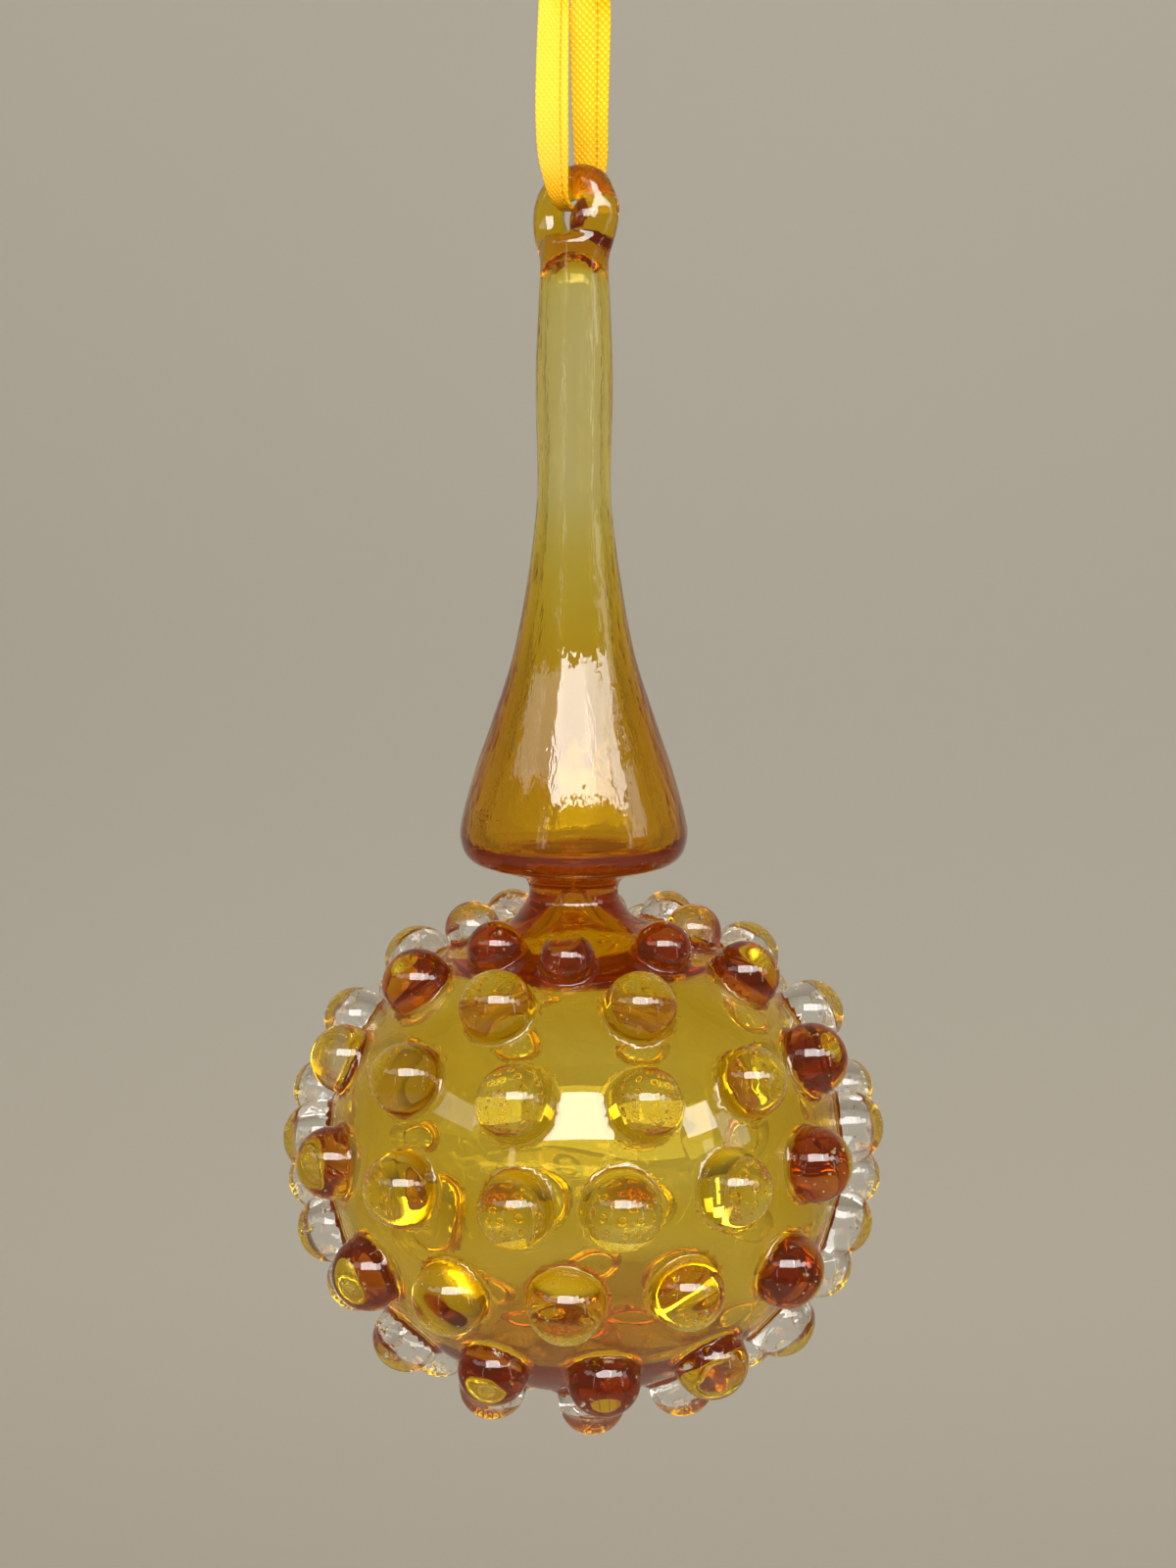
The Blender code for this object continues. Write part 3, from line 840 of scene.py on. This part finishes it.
def clear_glass():
    """Clear glass with a slow ripple all over, and long fine streaks where the spire was drawn."""
    material, tree, output = new_material("clear_soda_lime_glass")
    place = add_node(tree, "ShaderNodeTexCoord")
    ripple = add_node(tree, "ShaderNodeTexNoise", {"Vector": place.outputs["Object"]},
                      {"Scale": 1 / (RIPPLE_SIZE_MM * MM), "Detail": 1.0, "Roughness": 0.4})
    drawn = add_node(tree, "ShaderNodeMapping", {"Vector": place.outputs["Object"]},
                     {"Scale": (1.0, 1.0, STREAK_WIDTH_MM / STREAK_LENGTH_MM)})
    streaks = add_node(tree, "ShaderNodeTexNoise", {"Vector": drawn.outputs[0]},
                       {"Scale": 1 / (STREAK_WIDTH_MM * MM), "Detail": 3.0, "Roughness": 0.55})
    split = add_node(tree, "ShaderNodeSeparateXYZ", {"Vector": place.outputs["Object"]})
    on_spire = add_node(tree, "ShaderNodeMapRange", {"Value": split.outputs["Z"]},
                        {"From Min": STREAKS_START_MM * MM, "From Max": STREAKS_FULL_MM * MM,
                         "To Min": 0.0, "To Max": STREAK_DEPTH_MM / RIPPLE_DEPTH_MM})
    drawn_height = add_node(tree, "ShaderNodeMath", {0: streaks.outputs[0], 1: on_spire.outputs[0]},
                            operation="MULTIPLY")
    height = add_node(tree, "ShaderNodeMath", {0: ripple.outputs[0], 1: drawn_height.outputs[0]},
                      operation="ADD")
    bump = add_node(tree, "ShaderNodeBump", {"Height": height.outputs[0]},
                    {"Strength": 1.0, "Distance": RIPPLE_DEPTH_MM * MM})
    shader = add_node(tree, "ShaderNodeBsdfPrincipled", {"Normal": bump.outputs[0]},
                      {"Base Color": (1.0, 1.0, 1.0, 1.0), "Roughness": 0.0, "IOR": GLASS_IOR,
                       "Transmission Weight": 1.0})
    tree.links.new(shader.outputs[0], output.inputs["Surface"])
    return material


# %% Amber glass, as a body of colour
AMBER_LOSS_PER_MM = (0.055, 0.16, 1.15)
AMBER_DENSITY_PER_MM = 1.2
# Painted glow: a faint light that the amber gives out by itself, per millimetre, though it is no lamp.
AMBER_PAINTED_GLOW_PER_MM = (0.005, 0.0018, 0.0008)


def amber_glass():
    """A body that takes light away as it passes, and gives out a faint painted glow of its own."""
    material, tree, output = new_material("amber_glass_colour_and_painted_glow")
    shader = add_node(tree, "ShaderNodeBsdfPrincipled", None,
                      {"Base Color": (1.0, 1.0, 1.0, 1.0), "Roughness": 0.0, "IOR": 1.0,
                       "Transmission Weight": 1.0})
    passed = tuple(1 - loss / AMBER_DENSITY_PER_MM for loss in AMBER_LOSS_PER_MM)
    body = add_node(tree, "ShaderNodeVolumeAbsorption", None,
                    {"Color": (*passed, 1.0), "Density": AMBER_DENSITY_PER_MM / MM})
    # The painted glow: an emission inside the amber body.
    painted_glow = add_node(tree, "ShaderNodeEmission", None,
                    {"Color": (*(part / max(AMBER_PAINTED_GLOW_PER_MM) for part in AMBER_PAINTED_GLOW_PER_MM), 1.0),
                     "Strength": max(AMBER_PAINTED_GLOW_PER_MM) / MM})
    both = add_node(tree, "ShaderNodeAddShader", {0: body.outputs[0], 1: painted_glow.outputs[0]})
    tree.links.new(shader.outputs[0], output.inputs["Surface"])
    tree.links.new(both.outputs[0], output.inputs["Volume"])
    return material


clear = clear_glass()
glass.data.materials.append(clear)
seeds.data.materials.append(clear)
amber.data.materials.append(amber_glass())

# %% Yellow satin
WEAVE_ACROSS_MM = 0.62
WEAVE_ALONG_MM = 0.9
WEAVE_DEPTH_MM = 0.12
WEAVE_LOW = -0.2
WEAVE_HIGH = 0.75
PAINTED_CREASE_SHADE_AT_MM = 2.86
# Painted shade on the satin: a dark line along the crease, and darker cloth inside the glass loop.
PAINTED_CREASE_SHADE_CORE_MM = 0.05
PAINTED_CREASE_SHADE_HALF_MM = 0.2
PAINTED_LOOP_SHADE_BELOW_MM = -27.5
PAINTED_LOOP_SHADE_FADE_MM = 5.0
LIT_IN_PAINTED_LOOP_SHADE = 0.15
LIT_BETWEEN_DOTS = 0.35
DEEP_YELLOW = "#D29200"
BRIGHT_YELLOW = "#EEC200"


def satin():
    """Yellow satin with bright dots woven into deeper yellow, on the cloth's own UV in millimetres."""
    material, tree, output = new_material("woven_polyester_satin")
    place = add_node(tree, "ShaderNodeUVMap", uv_map="cloth_mm")
    split = add_node(tree, "ShaderNodeSeparateXYZ", {"Vector": place.outputs[0]})
    waves = []
    for axis, size in (("X", WEAVE_ACROSS_MM), ("Y", WEAVE_ALONG_MM)):
        turn = add_node(tree, "ShaderNodeMath", {0: split.outputs[axis]}, {1: 2 * math.pi / size},
                        operation="MULTIPLY")
        waves.append(add_node(tree, "ShaderNodeMath", {0: turn.outputs[0]}, operation="COSINE").outputs[0])
    lattice = add_node(tree, "ShaderNodeMath", {0: waves[0], 1: waves[1]}, operation="MULTIPLY")
    dots = add_node(tree, "ShaderNodeMapRange", {"Value": lattice.outputs[0]},
                    {"From Min": WEAVE_LOW, "From Max": WEAVE_HIGH, "To Min": 0.0, "To Max": 1.0})
    # Painted shade: the cloth is darker along the crease, where the fold's shadow line falls, and low down
    # where it runs inside the glass loop.
    off = add_node(tree, "ShaderNodeMath", {0: split.outputs["X"]}, {1: PAINTED_CREASE_SHADE_AT_MM}, operation="SUBTRACT")
    away = add_node(tree, "ShaderNodeMath", {0: off.outputs[0]}, operation="ABSOLUTE")
    flat = add_node(tree, "ShaderNodeMapRange", {"Value": away.outputs[0]},
                    {"From Min": PAINTED_CREASE_SHADE_CORE_MM, "From Max": PAINTED_CREASE_SHADE_HALF_MM, "To Min": 0.0, "To Max": 1.0})
    where = add_node(tree, "ShaderNodeTexCoord")
    height = add_node(tree, "ShaderNodeSeparateXYZ", {"Vector": where.outputs["Object"]})
    painted_loop_shade = add_node(tree, "ShaderNodeMapRange", {"Value": height.outputs["Z"]},
                          {"From Min": (PAINTED_LOOP_SHADE_BELOW_MM - PAINTED_LOOP_SHADE_FADE_MM) * MM,
                           "From Max": (PAINTED_LOOP_SHADE_BELOW_MM + PAINTED_LOOP_SHADE_FADE_MM) * MM,
                           "To Min": LIT_IN_PAINTED_LOOP_SHADE, "To Max": 1.0})
    # even is the painted shade of the crease and of the glass loop together.
    even = add_node(tree, "ShaderNodeMath", {0: flat.outputs[0], 1: painted_loop_shade.outputs[0]},
                    operation="MULTIPLY")
    lit = add_node(tree, "ShaderNodeMapRange", {"Value": dots.outputs[0]},
                   {"To Min": LIT_BETWEEN_DOTS, "To Max": 1.0})
    shade = add_node(tree, "ShaderNodeMath", {0: lit.outputs[0], 1: even.outputs[0]}, operation="MULTIPLY")
    colour = add_node(tree, "ShaderNodeMix", {"Factor": shade.outputs[0]}, data_type="RGBA")
    colour.inputs["A"].default_value = linear(DEEP_YELLOW)
    colour.inputs["B"].default_value = linear(BRIGHT_YELLOW)
    bump = add_node(tree, "ShaderNodeBump", {"Height": dots.outputs[0]},
                    {"Strength": 0.6, "Distance": WEAVE_DEPTH_MM * MM})
    shader = add_node(tree, "ShaderNodeBsdfPrincipled",
                      {"Base Color": colour.outputs["Result"], "Normal": bump.outputs[0]},
                      {"Roughness": 0.45, "Specular IOR Level": 0.3})
    tree.links.new(shader.outputs[0], output.inputs["Surface"])
    return material


ribbon.data.materials.append(satin())

# %% [markdown]
# ## The room
#
# A warm grey wall stands behind, a pale floor lies far below, and the light comes from windows
# behind the camera, above it. Their images in the glass are what makes it look wet and round.

# %% Wall and floor
WALL_DISTANCE_M = 0.95
WALL_WIDTH_M = 5.0
# Painted shade: the wall is lighter low down, darker higher up and uneven in soft clouds, as shadow on it
# would be.
WALL_COLOURS_AND_PAINTED_SHADE = ("#ABA599", "#9A968B")  # low and high
WALL_PAINTED_SHADE_HEIGHTS_M = (-0.62, -0.12)
WALL_PAINTED_SHADE_CLOUD_M = 0.7
WALL_PAINTED_SHADE_CLOUD_SHARE = 0.35
FLOOR_HEIGHT_M = -0.85
FLOOR_WIDTH_M = 6.0
FLOOR_COLOURS = ("#B4AEA4", "#B4AEA4")
FLOOR_SHADES_M = (-1.0, 1.0)
BACKDROP_MIDDLE_M = -0.27
BACKDROP_HALF_M = (0.37, 0.47)
BACKDROP_FADE_M = 0.08
PALE_PAINT = "#A39D90"


def stage_plane(name, centre, size, turn, colours, heights, shade_cloud=0.0):
    """A square of matt paint that goes from a low colour to a high one with height, a little cloudily: on
    the wall that is painted shade.

    Beyond the part that stands behind the ornament it goes over to pale paint."""
    half = size / 2
    corners = np.array([(-half, -half, 0), (half, -half, 0), (half, half, 0), (-half, half, 0)])
    turned = corners @ np.array(Matrix.Rotation(turn, 3, "X")).T + np.array(centre)
    plane = make_piece(name, turned / MM, [(0, 1, 2, 3)])
    material, tree, output = new_material(name + "_paint")
    place = add_node(tree, "ShaderNodeTexCoord")
    split = add_node(tree, "ShaderNodeSeparateXYZ", {"Vector": place.outputs["Object"]})
    rise = add_node(tree, "ShaderNodeMapRange", {"Value": split.outputs["Z"]},
                    {"From Min": heights[0], "From Max": heights[1]}, interpolation_type="SMOOTHSTEP")
    clouds = add_node(tree, "ShaderNodeTexNoise", {"Vector": place.outputs["Object"]},
                      {"Scale": 1 / WALL_PAINTED_SHADE_CLOUD_M, "Detail": 1.0})
    painted_shade_share = add_node(tree, "ShaderNodeMath", {0: clouds.outputs[0], 2: rise.outputs[0]}, {1: -shade_cloud},
                      operation="MULTIPLY_ADD")
    # paint carries the painted shade on the wall: the low colour goes over to the high one with height and
    # in clouds.
    paint = add_node(tree, "ShaderNodeMix", {"Factor": painted_shade_share.outputs[0]}, data_type="RGBA")
    paint.inputs["A"].default_value = linear(colours[0])
    paint.inputs["B"].default_value = linear(colours[1])
    aside = add_node(tree, "ShaderNodeMath", {0: split.outputs["X"]}, operation="ABSOLUTE")
    off_middle = add_node(tree, "ShaderNodeMath", {0: split.outputs["Z"]}, {1: BACKDROP_MIDDLE_M},
                          operation="SUBTRACT")
    above = add_node(tree, "ShaderNodeMath", {0: off_middle.outputs[0]}, operation="ABSOLUTE")
    narrowed = add_node(tree, "ShaderNodeMath", {0: above.outputs[0]},
                        {1: BACKDROP_HALF_M[0] / BACKDROP_HALF_M[1]}, operation="MULTIPLY")
    outside = add_node(tree, "ShaderNodeMath", {0: aside.outputs[0], 1: narrowed.outputs[0]},
                       operation="MAXIMUM")
    pale = add_node(tree, "ShaderNodeMapRange", {"Value": outside.outputs[0]},
                    {"From Min": BACKDROP_HALF_M[0], "From Max": BACKDROP_HALF_M[0] + BACKDROP_FADE_M})
    whole = add_node(tree, "ShaderNodeMix", {"Factor": pale.outputs[0], "A": paint.outputs["Result"]},
                     data_type="RGBA")
    whole.inputs["B"].default_value = linear(PALE_PAINT)
    shader = add_node(tree, "ShaderNodeBsdfPrincipled", {"Base Color": whole.outputs["Result"]},
                      {"Roughness": 0.9})
    tree.links.new(shader.outputs[0], output.inputs["Surface"])
    plane.data.materials.append(material)


stage_plane("wall", (0, WALL_DISTANCE_M, 0), WALL_WIDTH_M, math.pi / 2, WALL_COLOURS_AND_PAINTED_SHADE, WALL_PAINTED_SHADE_HEIGHTS_M,
            WALL_PAINTED_SHADE_CLOUD_SHARE)
stage_plane("floor", (0, 0, FLOOR_HEIGHT_M), FLOOR_WIDTH_M, 0.0, FLOOR_COLOURS, FLOOR_SHADES_M)

# %% Windows
LIGHT_AIM_M = Vector((0.0, 0.0, -0.15))
WINDOW_DISTANCE_M = 1.5
WINDOWS = (  # azimuth from the camera to the right, elevation, width and height in degrees, radiance
    (-1.0, 36.5, 44.0, 23.0, 13.0),
    (35.0, 33.0, 21.0, 19.0, 10.0),
    (56.5, 26.0, 15.0, 12.0, 9.0),
    (72.0, 17.0, 14.0, 16.0, 2.5),
    (-37.0, 33.0, 32.0, 15.0, 2.0),
    (-66.0, 27.0, 24.0, 10.0, 2.2),
    (-32.0, 8.0, 3.0, 26.0, 2.4),
    (57.0, 4.0, 5.0, 26.0, 2.4),
)
WALL_WASH = (0.0, 10.0, 70.0, 40.0, 1.4)
THROUGH_SHARE = 0.6
MIRRORED_BACK_M = 0.01
WINDOW_COLOUR = (1.0, 0.98, 0.95)


def add_window(name, azimuth, elevation, width, height, radiance, mirrored=True, through=True, back_m=0.0):
    """A soft rectangular light. It can be hidden from what is mirrored in the glass's skin, and from
    what comes out through the glass."""
    a, e = math.radians(azimuth), math.radians(elevation)
    towards = Vector((math.sin(a) * math.cos(e), -math.cos(a) * math.cos(e), math.sin(e)))
    data = bpy.data.lights.new(name, "AREA")
    data.shape = "RECTANGLE"
    data.size = 2 * WINDOW_DISTANCE_M * math.tan(math.radians(width / 2))
    data.size_y = 2 * WINDOW_DISTANCE_M * math.tan(math.radians(height / 2))
    data.energy = math.pi * data.size * data.size_y * radiance
    data.color = WINDOW_COLOUR
    light = bpy.data.objects.new(name, data)
    light.location = LIGHT_AIM_M + towards * (WINDOW_DISTANCE_M + back_m)
    light.rotation_euler = towards.to_track_quat("Z", "Y").to_euler()
    light.visible_glossy = mirrored
    light.visible_transmission = through
    scene.collection.objects.link(light)


# Each window is two lights, and only one of them is seen through the glass. No real window is so:
# it sets the balance between what is mirrored in the skin and what comes out through the glass.
for index, (*place, radiance) in enumerate(WINDOWS):
    add_window(f"window_{index}", *place, radiance * THROUGH_SHARE)
    add_window(f"window_{index}_mirrored", *place, radiance * (1 - THROUGH_SHARE), through=False,
               back_m=MIRRORED_BACK_M)
add_window("wall_wash", *WALL_WASH, mirrored=False, through=False)

# %% The rest of the room
ROOM_COLOUR = "#B5AD9E"
ROOM_STRENGTHS = (0.4, 0.8)
ROOM_GLASS_FACES = (2.0, 4.0)


def add_room():
    """An even room all round, which is brighter for light that has come through several glass faces.

    That isn't how light behaves. It stands for the windows' side of the room, which a ball of glass
    turns some of the light to."""
    world = bpy.data.worlds.new("room")
    scene.world = world
    world.use_nodes = True
    tree = world.node_tree
    background = tree.nodes["Background"]
    background.inputs["Color"].default_value = linear(ROOM_COLOUR)
    path = add_node(tree, "ShaderNodeLightPath")
    strength = add_node(tree, "ShaderNodeMapRange", {"Value": path.outputs["Transmission Depth"]},
                        {"From Min": ROOM_GLASS_FACES[0], "From Max": ROOM_GLASS_FACES[1],
                         "To Min": ROOM_STRENGTHS[0], "To Max": ROOM_STRENGTHS[1]})
    tree.links.new(strength.outputs[0], background.inputs["Strength"])


add_room()

# %% Light paths long enough for glass inside glass
GLASS_BOUNCES = 40
scene.cycles.max_bounces = GLASS_BOUNCES
scene.cycles.glossy_bounces = GLASS_BOUNCES
scene.cycles.transmission_bounces = GLASS_BOUNCES
scene.cycles.transparent_max_bounces = GLASS_BOUNCES
scene.view_settings.view_transform = "Standard"
